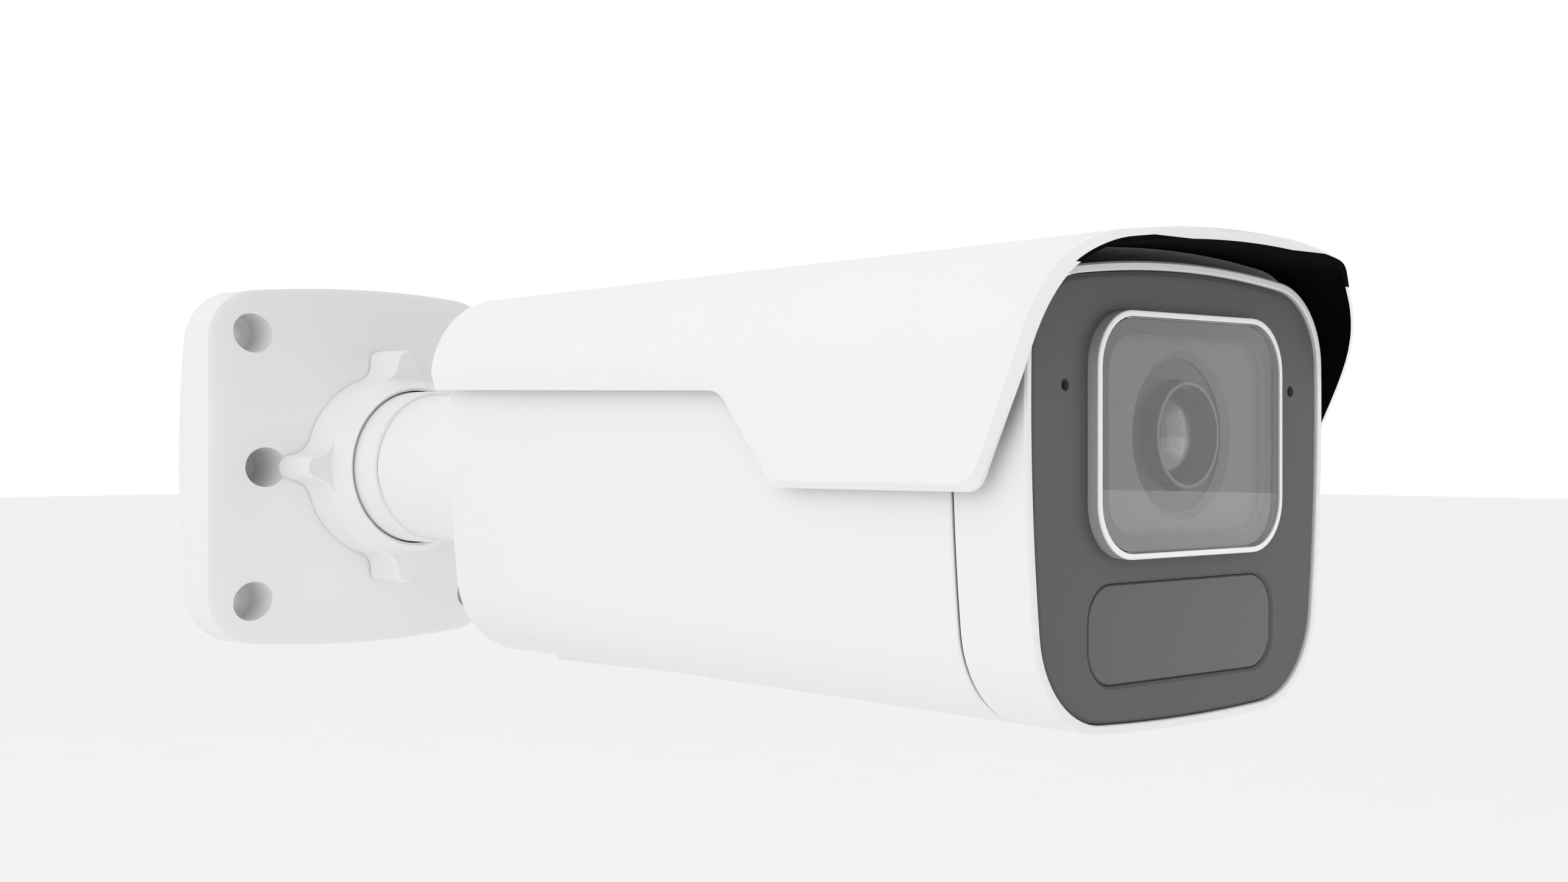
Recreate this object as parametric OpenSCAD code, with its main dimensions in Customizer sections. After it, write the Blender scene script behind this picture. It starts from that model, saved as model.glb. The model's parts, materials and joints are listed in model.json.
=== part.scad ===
// Bullet security camera on a wall bracket: lobed lock ring, 45 degree elbow, tapered
// housing, sunshield, lens window, infrared window and the works inside.
// Millimetres. Z up, the camera looks along -Y, the wall is the plane Y = 0.
// Origin: centre of the base's back face, on the arm axis.
// "y" values below are distances out from the wall, so a point lies at Y = -y.

/* [Wall base] */
// half width of the base across the middle of a side
base_half = 48.5; // [40:0.1:60]
// height of the base side wall at the middle of a side
base_side = 15.1; // [10:0.1:20]
// rise of the front cone per millimetre towards the centre
base_rise = 0.30; // [0.1:0.01:0.5]
// corner screw holes, distance from the centre lines
hole_corner = 35.5; // [30:0.1:40]
// middle screw holes, distance from the centre
hole_mid = 34.5; // [30:0.1:40]
// counterbore radius
bore_r = 5.25; // [4:0.05:7]
// screw clearance hole radius
screw_r = 2.4; // [1.5:0.05:3]
// cable passage radius through the base
cable_r = 12; // [8:0.5:16]

/* [Lock ring and arm] */
// lobe tip radius of the lock ring
lobe_r = 31.4; // [28:0.1:34]
// ring body radius between the lobes
ring_r = 24.4; // [23:0.1:27]
// plane of the lobes' front face
lobe_y = 34.8; // [32:0.1:38]
// plane of the ring's front lip
lip_y = 40.2; // [38:0.1:44]
// arm radius
arm_r = 20; // [18:0.1:24]
// end of the straight collar
collar_y = 49; // [45:0.5:56]
// elbow pivot, distance from the wall
pivot_y = 69; // [60:0.5:80]

/* [Camera body] */
// rear face of the housing
rear_y = 113; // [105:0.5:125]
// front plane of the rim
front_y = 285.9; // [270:0.1:300]
// joint between housing and front cover
seam_y = 268; // [260:0.5:275]
// size of the rear section compared with the front one
taper = 0.915; // [0.85:0.005:1]
// half width inside the front rim
rim_half = 46.4; // [40:0.1:52]
// top of the section inside the rim
rim_top = 38.7; // [30:0.1:45]
// bottom of the section inside the rim
rim_low = 45.0; // [35:0.1:52]
// rim thickness
rim_t = 1.7; // [1:0.1:3]
// housing wall thickness
wall = 2.4; // [1.5:0.1:4]

/* [Hood] */
// clearance outside the rim line to the hood's inner face
hood_in = 4.6; // [3:0.1:7]
// hood thickness
hood_t = 2.3; // [1.5:0.1:4]
// tip of the visor
visor_y = 298.6; // [290:0.1:305]
// lower edge of the rear skirt
skirt_z = 17.2; // [10:0.1:25]
// forward travel of the hood
hood_travel = 10; // [0:0.5:12]
// lower edge of the front flaps
flap_z = -2.06; // [-10:0.1:10]

/* [Window and lens] */
// height of the lens axis above the arm axis
lens_z = 8.0; // [0:0.1:15]
// half width of the window bezel
bezel_w = 30.0; // [25:0.1:35]
// half height of the window bezel
bezel_h = 22.7; // [18:0.1:26]
// front face of the bezel
bezel_y = 288.0; // [286:0.1:290]
// front barrel radius
barrel_r = 10.1; // [8:0.1:12]
// centre height of the infrared window
ir_z = -28.3; // [-32:0.1:-24]

/* [Hidden] */
base_bevel = 1.4; // bevel round the base's front edge
cone0 = base_side + base_bevel * 0.7 + base_rise * base_half; // cone height on the axis
lens_tip = bezel_y - 2.4;
gear_x = 17.3; // motor pinions, beside the lens axis
hood_screw_y = [150, 225];
reset_x = 10.5; // reset button, to the side of the card socket

// ---------- helpers ----------
module along(y, h) { translate([0, -y, 0]) rotate([90, 0, 0]) linear_extrude(height = h) children(); }
module cyl(y, h, r, x = 0, z = 0) { translate([x, -y, z]) rotate([90, 0, 0]) cylinder(h = h, r = r, $fn = 96); }
module cone(y, h, ra, rb, x = 0, z = 0)
  translate([x, -y, z]) rotate([90, 0, 0]) cylinder(h = h, r1 = ra, r2 = rb, $fn = 96);
module tube(y, h, ro, ri, x = 0, z = 0)
  difference() { cyl(y, h, ro, x, z); cyl(y - 1, h + 2, ri, x, z); }
// box from its low corner; the y range runs out from the wall
module slab(x0, x1, y0, y1, z0, z1) translate([x0, -y1, z0]) cube([x1 - x0, y1 - y0, z1 - z0]);
module rrect(w, h, r) hull() for (x = [-1, 1], z = [-1, 1]) translate([x * (w - r), z * (h - r)]) circle(r = r, $fn = 32);
// along the elbow's slanting axis: positive d points into the lower half
module slant(d, h, r) translate([0, -pivot_y, 0]) rotate([0, 0, -45]) translate([0, d, 0])
  rotate([-90, 0, 0]) cylinder(h = h, r = r, $fn = 96);

// front section of the body: bulged sides, crowned top and bottom
module raw_section() intersection() {
  translate([rim_half - 367, 14]) circle(r = 367, $fn = 360);
  translate([367 - rim_half, 14]) circle(r = 367, $fn = 360);
  translate([0, rim_top - 280]) circle(r = 280, $fn = 300);
  translate([0, 520 - rim_low]) circle(r = 520, $fn = 480);
}
module section(g = 0) offset(delta = g) union() {
  intersection() {
    offset(r = 15, $fn = 48) offset(delta = -15) raw_section();
    translate([-99, 0]) square([198, 99]);
  }
  intersection() {
    offset(r = 19, $fn = 48) offset(delta = -19) raw_section();
    translate([-99, -99]) square([198, 99.01]);
  }
}
// scale of the tapered body at a distance from the wall
function sc(y) = 1 - (1 - taper) * (front_y - y) / (front_y - rear_y);
module tapered(y0, y1, g)
  translate([0, -y0, 0]) rotate([90, 0, 0])
    linear_extrude(height = y1 - y0, scale = sc(y1) / sc(y0)) scale(sc(y0)) section(g);

// ---------- wall base ----------
module base_outline(g = 0) intersection() {
  offset(delta = g) offset(r = 15, $fn = 48) offset(delta = -15) intersection() {
    translate([400 - base_half, 0]) circle(r = 400, $fn = 360);
    translate([base_half - 400, 0]) circle(r = 400, $fn = 360);
    translate([0, 400 - base_half]) circle(r = 400, $fn = 360);
    translate([0, base_half - 400]) circle(r = 400, $fn = 360);
  }
  square(120, center = true);
}
module base_cone(lift = 0) rotate([90, 0, 0]) rotate_extrude($fn = 128)
  polygon([[0, -1], [90, -1], [90, cone0 - base_rise * 90 + lift], [24, cone0 - base_rise * 24 + lift],
           [0, cone0 - base_rise * 24 + lift]]);
module holes(r, y0, y1) {
  for (x = [-1, 1], z = [-1, 1]) cyl(y0, y1 - y0, r, x * hole_corner, z * hole_corner);
  for (x = [-1, 1]) cyl(y0, y1 - y0, r, x * hole_mid, 0);
}
module base_plate() color([0.93, 0.93, 0.92]) difference() {
  union() {
    intersection() { along(0, 30) base_outline(); base_cone(-base_bevel * 0.7); }
    intersection() { along(0, 30) base_outline(-base_bevel); base_cone(); }
    cyl(20, 13, 22.3);
  }
  cyl(-1, 14, cable_r);
  cyl(12.5, 30, 19.05);
  difference() { cyl(-1, 14.2, 27.5); cyl(-2, 16, 22); }
  difference() { along(-1, 2.2) base_outline(-3); along(-1, 2.2) base_outline(-5.2); }
  holes(screw_r, -1, 30);
  holes(bore_r, 5.6, 30);
}
module base_gasket() color([0.12, 0.12, 0.12]) difference() {
  along(0.1, 1.0) base_outline(-3.2);
  along(0, 2) base_outline(-5.0);
}

// ---------- lock ring ----------
module lobes(g = 0) offset(r = -6, $fn = 32) offset(r = 6 + g, $fn = 32) union() {
  circle(r = ring_r, $fn = 72);
  for (a = [0 : 90 : 270]) rotate(a) hull() {
    translate([lobe_r - 3.2, 0]) circle(r = 3.2, $fn = 24);
    translate([ring_r - 3, 0]) circle(r = 4.6, $fn = 24);
  }
}
module lock_ring() color([0.92, 0.92, 0.91]) difference() {
  union() {
    along(18, lobe_y - 19) lobes();
    along(lobe_y - 1.01, 1.01) lobes(-0.7);
    cone(lobe_y - 0.01, lip_y - lobe_y, ring_r - 0.6, arm_r + 1.2);
  }
  base_cone(0.35);
  cyl(15, 22, 22.6);
  cyl(30, 20, arm_r + 0.4);
  cone(lip_y - 0.6, 0.7, arm_r + 0.4, arm_r + 1.1);
}

// ---------- arm ----------
module far_side(gap) translate([0, -pivot_y, 0]) rotate([0, 0, -45]) translate([-80, -160 - gap, -60]) cube([160, 160, 120]);
module arm_collar() color([0.92, 0.92, 0.91]) difference() {
  union() {
    cyl(14, 20, 19.0);
    cyl(33.3, 3.4, 22.2);
    cyl(33.3, collar_y - 0.5 - 33.3, arm_r);
    cone(collar_y - 0.5, 0.5, arm_r, arm_r - 0.5);
    cyl(collar_y - 0.6, 42, arm_r - 1.1);
  }
  far_side(-0.15);
  cyl(13, 42, 9);
  slant(-2, 8, 9.05);
  slant(5, 5, 12);
}
module elbow_arm() color([0.93, 0.93, 0.92]) difference() {
  union() {
    intersection() {
      cyl(40, rear_y - 0.6 - 40, arm_r - 0.3);
      far_side(0.15);
    }
    slant(-4, 12.8, 9.0);
    cyl(rear_y - 3, 17, 14.95);
  }
  slant(-12, 22, 7.0);
  cyl(pivot_y + 6, 80, 9);
}
module elbow_washer() color([0.62, 0.63, 0.65]) difference() { slant(5.35, 0.9, 11.2); slant(5, 2, 9.1); }
module elbow_nut() color([0.55, 0.56, 0.58]) difference() { slant(6.3, 2.2, 11.2); slant(6, 3, 9.05); }
module swivel_washer() color([0.62, 0.63, 0.65]) tube(rear_y + 8.4, 0.9, 18.4, 15.05);
module swivel_nut() color([0.55, 0.56, 0.58]) tube(rear_y + 9.4, 3.6, 18.4, 15.0);

// ---------- housing ----------
module hatch_shape(g = 0) offset(r = g, $fn = 32) rrect(20, 20, 4);
module below(z0, z1) translate([0, -(rear_y + 28), z0]) linear_extrude(height = z1 - z0) children();
module at_hatch_screws()
  for (x = [-1, 1], s = [-1, 1]) translate([x * 17.6, -(rear_y + 28) + s * 17.6, 0]) children();
module housing() color([0.93, 0.93, 0.92]) difference() {
  union() {
    difference() {
      tapered(rear_y, seam_y, rim_t);
      tapered(rear_y + 4, seam_y + 1, rim_t - wall);
    }
    tube(rear_y + 3, 5, 22, 15.0);
    intersection() {
      below(-46, -37.8) hatch_shape(4);
      tapered(rear_y + 3, seam_y, 0);
    }
  }
  cyl(rear_y - 1, 12, 15.0);
  below(-50, -30) hatch_shape(-5);
  below(-50, -41.0) hatch_shape(0.25);
  at_hatch_screws() translate([0, 0, -41.2]) cylinder(h = 2.8, r = 0.8, $fn = 32);
  for (y = hood_screw_y) translate([0, -y, 30]) cylinder(h = 12, r = 1.3, $fn = 32);
}
module hatch_cover() color([0.92, 0.92, 0.91]) difference() {
  union() {
    below(-44.4, -41.6) hatch_shape(0);
    below(-41.7, -38.4) hatch_shape(-5.4);
  }
  below(-40.2, -38) hatch_shape(-7);
  at_hatch_screws() {
    translate([0, 0, -46]) cylinder(h = 8, r = 1.0, $fn = 32);
    translate([0, 0, -46]) cylinder(h = 3, r = 1.7, $fn = 32);
  }
}
module hatch_seal() color([0.1, 0.1, 0.1]) difference() {
  below(-41.55, -41.05) hatch_shape(-0.6);
  below(-42, -41) hatch_shape(-3.3);
  at_hatch_screws() translate([0, 0, -46]) cylinder(h = 8, r = 1.0, $fn = 32);
}
module hatch_screws() color([0.6, 0.6, 0.62])
  at_hatch_screws() difference() {
    union() {
      translate([0, 0, -44.3]) cylinder(h = 1.3, r = 1.5, $fn = 32);
      translate([0, 0, -43.1]) cylinder(h = 4.6, r = 0.77, $fn = 32);
    }
    translate([0, 0, -44.4]) cylinder(h = 0.9, r = 0.8, $fn = 6);
  }
module straight(y, h, g) along(y, h) scale(sc(y)) section(g);
module front_seal() color([0.1, 0.1, 0.1]) difference() {
  straight(seam_y + 0.05, 0.4, rim_t - 0.7);
  straight(seam_y - 0.4, 2, rim_t - 1.9);
}
module front_cover() color([0.94, 0.94, 0.93]) difference() {
  tapered(seam_y + 0.5, front_y, rim_t);
  straight(seam_y - 1, 16.1, -0.4);
  straight(front_y - 3.0, 5, 0.02);
}
module front_panel() color([0.33, 0.33, 0.34]) difference() {
  union() {
    straight(front_y - 2.95, 1.75, -0.08);
    straight(front_y - 1.3, 0.6, -0.4);
    straight(front_y - 0.8, 0.4, -0.9);
  }
  along(front_y - 5, 9) translate([0, lens_z]) rrect(bezel_w + 0.08, bezel_h + 0.08, 10.4);
  along(front_y - 5, 9) translate([0, ir_z]) rrect(28.6, 8.2, 6);
  along(front_y - 2.0, 9) translate([0, ir_z]) rrect(29.7, 9.3, 7);
  along(front_y - 0.9, 2) translate([0, ir_z]) rrect(30.3, 9.9, 7.6);
  for (x = [-36.6, 36.6]) cyl(front_y - 5, 9, 1.1, x, lens_z + 8.8);
}

// ---------- lens window ----------
module at_lens() translate([0, lens_z]) children();
module window_bezel() color([0.80, 0.80, 0.80]) difference() {
  union() {
    along(front_y - 5.5, bezel_y - front_y + 5.5) at_lens() rrect(bezel_w, bezel_h, 10.4);
    along(front_y - 5.5, 2.4) at_lens() rrect(bezel_w + 2.5, bezel_h + 2.5, 12);
  }
  along(front_y - 7, 12) at_lens() rrect(25.45, 18.35, 7);
  along(bezel_y - 2.2, 4) at_lens() rrect(bezel_w - 1.1, bezel_h - 1.1, 9.3);
}
module window_mask() color([0.38, 0.38, 0.38]) difference() {
  along(bezel_y - 2.15, 0.15) at_lens() rrect(bezel_w - 1.25, bezel_h - 1.25, 9.2);
  along(bezel_y - 3, 2) at_lens() rrect(25.5, 18.4, 7);
}
module window_glass() color([0.75, 0.8, 0.85, 0.3]) along(bezel_y - 1.95, 1.55) at_lens() rrect(bezel_w - 1.25, bezel_h - 1.25, 9.2);
module lens_plate() color([0.52, 0.52, 0.53]) difference() {
  along(front_y - 3.2, 1.5) at_lens() rrect(25.35, 18.25, 6.9);
  cyl(front_y - 5, 8, 14.5, 0, lens_z);
  cone(front_y - 2.8, 1.3, 14.5, 16.0, 0, lens_z);
}
module lens_holder() color([0.2, 0.2, 0.21]) difference() {
  union() {
    cyl(front_y - 4.6, 1.3, 17.5, 0, lens_z);
    tube(front_y - 8, 4, 17.5, 15.5, 0, lens_z);
    for (x = [-1, 1]) slab(x * 21 - 5, x * 21 + 5, front_y - 8, front_y - 6, lens_z - 4, lens_z + 4);
  }
  cyl(front_y - 12, 12, barrel_r + 0.5, 0, lens_z);
}
module front_barrel() color([0.07, 0.07, 0.08]) difference() {
  union() {
    cyl(262, lens_tip - 262, barrel_r, 0, lens_z);
    cyl(248, 15, 11.0, 0, lens_z);
  }
  cyl(lens_tip - 1.6, 4, barrel_r - 0.7, 0, lens_z);
  cyl(lens_tip - 6.6, 5.2, barrel_r - 1.2, 0, lens_z);
  cyl(262, 30, 6.5, 0, lens_z);
  cyl(247, 20, 7.4, 0, lens_z);
}
module front_element() color([0.45, 0.35, 0.55, 0.6]) intersection() {
  cyl(lens_tip - 6.5, 8, barrel_r - 1.25, 0, lens_z);
  translate([0, -(lens_tip - 1.3 - 16), lens_z]) sphere(r = 16, $fn = 128);
}
module rear_element() color([0.5, 0.55, 0.6, 0.5]) cyl(250, 4, 7.35, 0, lens_z);
module lens_base() color([0.1, 0.1, 0.11]) difference() {
  union() {
    slab(-12, 12, 232, 246.5, lens_z - 14, lens_z + 14);
    cyl(246, 2.0, 11.0, 0, lens_z);
    slab(11, gear_x + 5, 232.5, 234, lens_z - 5, lens_z + 5);
    slab(-gear_x - 5, -11, 234.4, 235.8, lens_z - 5, lens_z + 5);
  }
  cyl(231, 20, 7.4, 0, lens_z);
  slab(-8.0, 8.0, 236.4, 239.6, lens_z - 20, lens_z + 20);
  slab(-9, 9, 230, 233.4, lens_z - 9, lens_z + 9);
}
module gear_ring(y, h) difference() {
  union() {
    cyl(y, h, 13.6, 0, lens_z);
    for (a = [0 : 9 : 351]) translate([0, 0, lens_z]) rotate([0, a, 0]) slab(-0.34, 0.34, y, y + h, 12.5, 14.6);
  }
  cyl(y - 1, h + 2, 11.05, 0, lens_z);
}
module zoom_ring() color([0.13, 0.13, 0.14]) gear_ring(249.5, 4);
module focus_ring() color([0.13, 0.13, 0.14]) gear_ring(256.5, 4);
module pinion(y, x, z) difference() {
  union() {
    cyl(y, 6, 2.3, x, z);
    for (a = [0 : 36 : 324]) translate([x, 0, z]) rotate([0, a, 0]) slab(-0.28, 0.28, y, y + 6, 1.8, 3.3);
  }
  cyl(y - 1, 9, 0.8, x, z);
}
module motor(y, x, z, shaft) {
  cyl(y, 12, 5, x, z);
  cyl(y + 12, 1.2, 2.0, x, z);
  cyl(y + 13, shaft, 0.75, x, z);
}
module zoom_pinion() color([0.85, 0.84, 0.78]) pinion(248.5, gear_x, lens_z);
module focus_pinion() color([0.85, 0.84, 0.78]) pinion(255.5, -gear_x, lens_z);
module zoom_motor() color([0.66, 0.66, 0.68]) motor(234, gear_x, lens_z, 8.5);
module focus_motor() color([0.66, 0.66, 0.68]) motor(235.8, -gear_x, lens_z, 13.5);
module filter_slide() color([0.6, 0.25, 0.3]) difference() {
  slab(-7.6, 7.6, 236.8, 239.2, lens_z - 16.6, lens_z + 6.6);
  cyl(236, 4, 6.0, 0, lens_z);
}
module filter_actuator() color([0.25, 0.25, 0.27]) {
  slab(-6, 6, 233.5, 243.5, -24.0, lens_z - 17.6);
  cyl(243.5, 2, 2, 0, lens_z - 24);
}
module image_sensor() color([0.15, 0.2, 0.3]) slab(-5, 5, 231.0, 232.6, lens_z - 4, lens_z + 4);
module sensor_board() color([0.05, 0.3, 0.16]) slab(-17, 17, 229.4, 231.0, lens_z - 17, lens_z + 17);

// ---------- infrared window ----------
module illuminator_glass() color([0.2, 0.22, 0.22]) along(front_y - 1.95, 1.2) translate([0, ir_z]) rrect(29.6, 9.2, 6.9);
module led_board() color([0.05, 0.3, 0.16]) slab(-28, 28, 277.0, 278.4, ir_z - 7.8, ir_z + 7.8);
module led_emitters() color([0.9, 0.85, 0.5])
  for (x = [-19.5, -6.5, 6.5, 19.5]) slab(x - 1.8, x + 1.8, 278.4, 279.5, ir_z - 1.8, ir_z + 1.8);
module led_optics() color([0.85, 0.87, 0.9, 0.5]) {
  difference() {
    slab(-27, 27, 282.0, 282.8, ir_z - 7, ir_z + 7);
    for (x = [-19.5, -6.5, 6.5, 19.5]) cyl(281, 3, 5, x, ir_z);
  }
  for (x = [-19.5, -6.5, 6.5, 19.5]) cone(279.8, 3.0, 3.2, 5.0, x, ir_z);
  for (x = [-26, 26]) slab(x - 1, x + 1, 278.4, 282.1, ir_z - 6, ir_z + 6);
}
module microphones() color([0.7, 0.7, 0.72]) for (x = [-36.6, 36.6]) {
  cyl(280.2, 2.6, 3.0, x, lens_z + 8.8);
  slab(x - 3.5, x + 3.5, 279.0, 280.2, lens_z + 5.3, lens_z + 12.3);
}

// ---------- inside the housing ----------
module chassis() color([0.6, 0.61, 0.63]) difference() {
  union() {
    slab(-33, 33, 132, 262, -25.6, -24.0);
    slab(-33, 33, 262, 263.6, -25.6, lens_z + 20);
    for (x = [-31, 31], y = [140, 222]) slab(x - 2, x + 2, y - 2, y + 2, -24.1, -18.0);
    for (x = [-1, 1]) slab(x * 32.2 - 0.8, x * 32.2 + 0.8, 228, 263, -25.6, lens_z + 12);
    slab(-33, 33, 227.6, 229.4, -25.6, lens_z + 16);
  }
  cyl(250, 30, 16.4, 0, lens_z);
  for (x = [-gear_x, gear_x]) cyl(258, 12, 7, x, lens_z);
  slab(-14, 20, 133.5, 158, -30, -23);
  cyl(220, 20, 5, 0, lens_z - 12);
}
module main_board() color([0.04, 0.28, 0.15]) slab(-33, 33, 136, 226, -18.0, -16.4);
module processor() color([0.12, 0.12, 0.13]) {
  slab(-9, 9, 182, 200, -16.4, -14.6);
  for (x = [-22, 14]) slab(x, x + 8, 184, 196, -16.4, -15.2);
  slab(-30, -24, 160, 168, -16.4, -15.0);
}
module heat_block() color([0.72, 0.73, 0.75]) {
  slab(-11, 11, 180, 202, -14.6, -11.0);
  for (x = [-10 : 4 : 10]) slab(x - 0.6, x + 0.6, 180, 202, -11.1, 2);
}
module board_connectors() color([0.9, 0.9, 0.86]) {
  slab(-30, -14, 137, 145, -16.4, -9);
  slab(10, 24, 137, 143, -16.4, -11);
  slab(20, 31, 210, 216, -16.4, -12);
}
module power_board() color([0.05, 0.25, 0.32]) {
  slab(-28, 28, 150, 172, 14.0, 15.6);
  for (x = [-26, 26], y = [152, 170]) slab(x - 1.5, x + 1.5, y - 1.5, y + 1.5, -16.4, 14.0);
}
module power_parts() color([0.25, 0.25, 0.28]) {
  slab(-8, 8, 154, 168, 4, 14.0);
  for (x = [-20, 16]) translate([x, -161, 4.5]) cylinder(h = 9.5, r = 4, $fn = 48);
}
module card_socket() color([0.75, 0.76, 0.78]) difference() {
  slab(-11, 5, 134, 149.5, -20.2, -18.0);
  slab(-8.6, 2.6, 133, 148, -19.7, -18.7);
}
module reset_switch() color([0.7, 0.7, 0.72]) difference() {
  slab(reset_x - 3.5, reset_x + 3.5, 138.5, 145.5, -20.4, -18.0);
  translate([reset_x, -142, -21]) cylinder(h = 2.5, r = 1.65, $fn = 48);
}
module reset_button() color([0.15, 0.15, 0.16])
  translate([reset_x, -142, -22.4]) cylinder(h = 3.3, r = 1.6, $fn = 48);

// ---------- hood ----------
// side view of the hood's lower and front edge: corners as [distance from wall, height, rounding];
// the inner edge reaches past the outer one, which leaves the bevel between them
EDGE_IN = [[100, skirt_z + 1.6, 0], [210.5, skirt_z - 0.35, 3.2], [225.7, flap_z, 2.2],
           [277.8, flap_z, 3], [289.7, 22.6, 8], [294.9, 40.6, 2.5], [visor_y, 42.2, 0],
           [visor_y + 9, 42.2, 0], [visor_y + 9, 70, 0], [100, 70, 0]];
EDGE_OUT = [[100, skirt_z + 5.9, 0], [214.7, skirt_z + 4.1, 4.4], [228.5, flap_z + 1.4, 1.5],
            [277.3, flap_z + 1.4, 4.5], [288.3, 23.0, 8], [293.0, 42.3, 3], [visor_y - 1.4, 44.2, 0],
            [visor_y - 1.4, 70, 0], [100, 70, 0]];
function unit(v) = v / norm(v);
function flat(c) = [c[0], c[1]];
// a parabola that leaves each side of corner b at its rounding distance
function corner_curve(a, b, c) = b[2] == 0 ? [flat(b)] : let (u = unit(flat(a) - flat(b)), w = unit(flat(c) - flat(b)))
  [for (t = [0 : 0.2 : 1]) flat(b) + u * b[2] * pow(1 - t, 2) + w * b[2] * pow(t, 2)];
function rounded(e) = let (n = len(e))
  [for (i = [0 : n - 1]) each corner_curve(e[(i + n - 1) % n], e[i], e[(i + 1) % n])];
module side_cut(edge, half) translate([half, 0, 0]) rotate([90, 0, -90])
  linear_extrude(height = 2 * half) polygon(rounded(edge));
module hood_shell(gi, go) difference() {
  tapered(rear_y, visor_y, go);
  tapered(rear_y - 1, visor_y + 1, gi);
}
// outer height of the hood on its centre line
function hood_top(y) = (rim_top + hood_in + hood_t) * sc(y);
module hood_slot(y, r, z) hull() for (d = [-hood_travel - 0.5, 0.5])
  translate([0, -(y + d), z]) cylinder(h = 20, r = r, $fn = 24);
module hood() color([0.94, 0.94, 0.93]) difference() {
  union() {
    intersection() { hood_shell(hood_in, hood_in + 1.0); side_cut(EDGE_IN, 70); }
    intersection() { hood_shell(hood_in + 0.9, hood_in + hood_t); side_cut(EDGE_OUT, 70); }
  }
  for (y = hood_screw_y) {
    hood_slot(y, 1.6, 30);
    hood_slot(y, 3.1, hood_top(y - 5) - 1.45);
  }
}
module hood_bosses() color([0.9, 0.9, 0.89]) for (y = hood_screw_y) difference() {
  translate([0, -y, 33]) cylinder(h = hood_top(y) - hood_t - 0.7 - 33, r = 4.2, $fn = 48);
  translate([0, -y, 30]) cylinder(h = 20, r = 1.3, $fn = 32);
  tapered(rear_y, seam_y, rim_t);
}
module hood_screws() color([0.7, 0.7, 0.72]) for (y = hood_screw_y) translate([0, -y, hood_top(y)]) difference() {
  union() {
    translate([0, 0, -10]) cylinder(h = 9.2, r = 1.25, $fn = 32);
    translate([0, 0, -1.1]) cylinder(h = 0.9, r = 2.7, $fn = 48);
  }
  translate([0, 0, -0.8]) cylinder(h = 2, r = 1.2, $fn = 6);
}

base_plate();
base_gasket();
lock_ring();
arm_collar();
elbow_arm();
elbow_washer();
elbow_nut();
swivel_washer();
swivel_nut();
housing();
hatch_cover();
hatch_seal();
hatch_screws();
front_seal();
front_cover();
front_panel();
window_bezel();
window_mask();
window_glass();
lens_plate();
lens_holder();
front_barrel();
front_element();
rear_element();
lens_base();
zoom_ring();
focus_ring();
zoom_motor();
zoom_pinion();
focus_motor();
focus_pinion();
filter_slide();
filter_actuator();
image_sensor();
sensor_board();
illuminator_glass();
led_board();
led_emitters();
led_optics();
microphones();
chassis();
main_board();
processor();
heat_block();
board_connectors();
power_board();
power_parts();
card_socket();
reset_switch();
reset_button();
hood();
hood_bosses();
hood_screws();
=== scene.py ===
"""Looks of the bullet security camera: smooth castings, hood, lens window and materials.

Every outline below is measured in millimetres and turned to metres when its mesh is made.
In a profile, "out" is the distance from the wall, so a point lies at Y = -out.
"""

import json
import math

import bmesh
import bpy
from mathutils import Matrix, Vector


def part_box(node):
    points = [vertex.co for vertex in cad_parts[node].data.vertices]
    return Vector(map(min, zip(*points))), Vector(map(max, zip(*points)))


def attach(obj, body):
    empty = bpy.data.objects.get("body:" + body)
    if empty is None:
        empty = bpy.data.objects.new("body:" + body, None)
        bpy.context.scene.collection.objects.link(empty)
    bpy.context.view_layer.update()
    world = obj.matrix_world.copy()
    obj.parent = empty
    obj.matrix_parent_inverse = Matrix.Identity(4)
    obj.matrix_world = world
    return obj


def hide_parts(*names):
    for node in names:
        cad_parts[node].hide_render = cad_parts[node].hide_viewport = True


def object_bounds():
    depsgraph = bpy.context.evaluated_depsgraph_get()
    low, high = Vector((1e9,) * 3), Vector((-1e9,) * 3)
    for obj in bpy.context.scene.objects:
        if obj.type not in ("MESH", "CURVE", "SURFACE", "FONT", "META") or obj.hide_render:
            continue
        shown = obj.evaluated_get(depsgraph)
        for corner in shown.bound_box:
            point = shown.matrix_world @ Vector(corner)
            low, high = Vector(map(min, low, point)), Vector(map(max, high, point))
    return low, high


MM = 0.001
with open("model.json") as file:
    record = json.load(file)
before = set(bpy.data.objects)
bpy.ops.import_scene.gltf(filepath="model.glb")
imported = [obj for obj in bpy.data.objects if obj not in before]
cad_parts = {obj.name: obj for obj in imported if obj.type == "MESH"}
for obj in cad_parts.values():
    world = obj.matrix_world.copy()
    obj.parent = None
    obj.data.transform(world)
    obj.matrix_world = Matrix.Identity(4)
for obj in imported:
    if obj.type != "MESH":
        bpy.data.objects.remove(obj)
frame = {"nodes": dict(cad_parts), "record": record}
cad_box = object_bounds()


def span(node):
    """(low, high) corners of a CAD node in millimetres."""
    low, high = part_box(node)
    return low / MM, high / MM


# ---------- sizes, from the frame ----------
base_high = span("base_plate")[1]
bezel_low, bezel_high = span("window_bezel")
cover_low = span("front_cover")[0]
housing_low, housing_high = span("housing")
barrel_low = span("front_barrel")[0]
ir_low, ir_high = span("illuminator_glass")
mic_low, mic_high = span("microphones")
hatch_low, hatch_high = span("hatch_cover")
hood_low = span("hood")[0]
ring_low = span("lock_ring")[0]

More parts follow.
